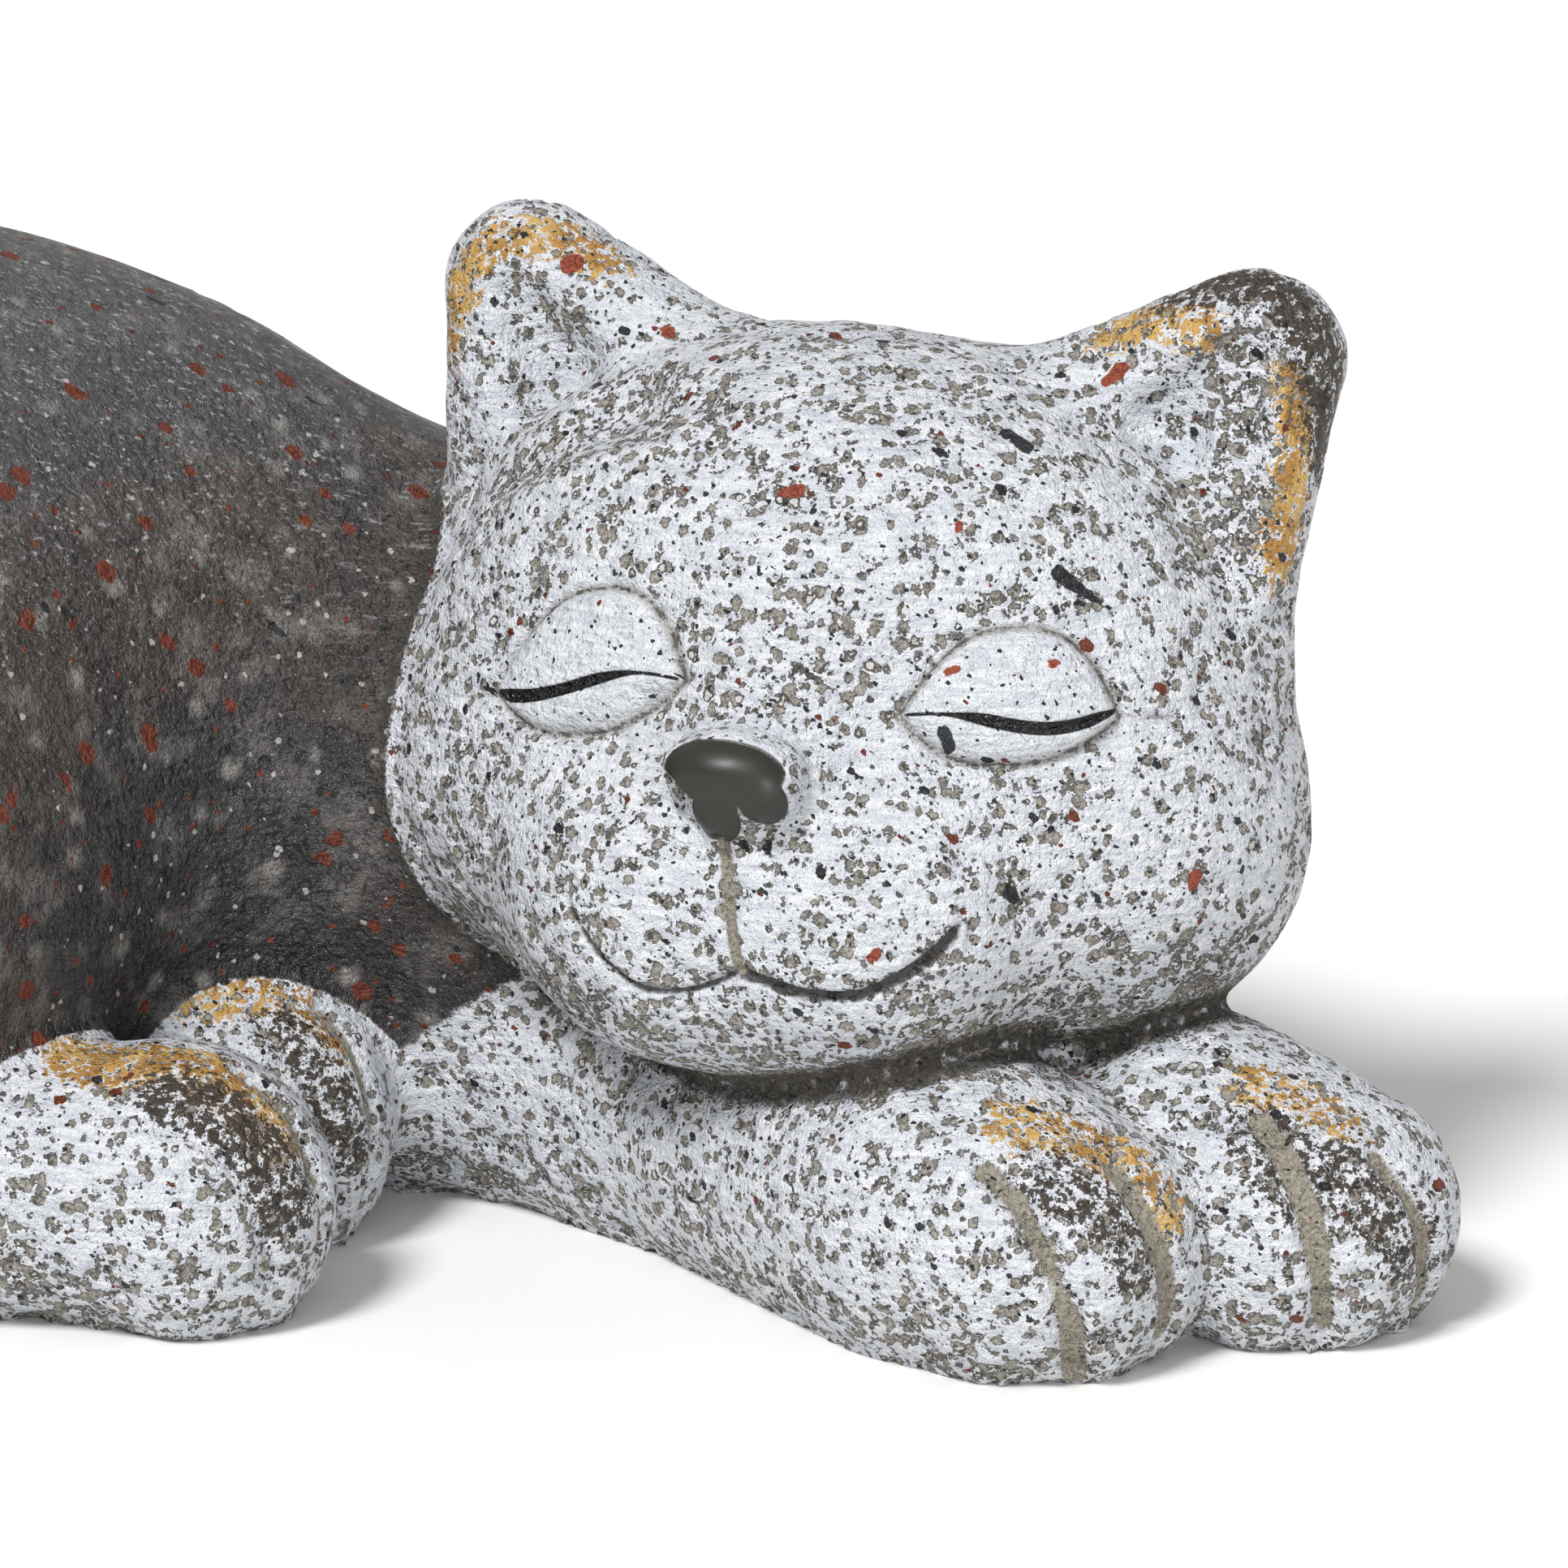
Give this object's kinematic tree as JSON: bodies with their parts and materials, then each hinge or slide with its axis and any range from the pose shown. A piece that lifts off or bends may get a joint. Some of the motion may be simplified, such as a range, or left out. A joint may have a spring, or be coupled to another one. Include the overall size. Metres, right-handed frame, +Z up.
{
  "type": "cat garden statue",
  "caption": "Sleeping cat garden statue cast in one piece: a curled cat with its head resting on both forelegs, standing on its flat underside.",
  "frame": {"origin": "on the ground, under the middle of the statue's bounding box", "axes": "+Z up, +X from the rump towards the head, the face looks towards -Y and a little towards -X"},
  "size_m": [0.4562, 0.2416, 0.1929],
  "materials": {
    "cast_stone": "whitewashed and speckled on the head and feet, glossy dark grey-brown on the body"
  },
  "bodies": {
    "root": {"cat_statue": "cast_stone"}
  },
  "joints": []
}
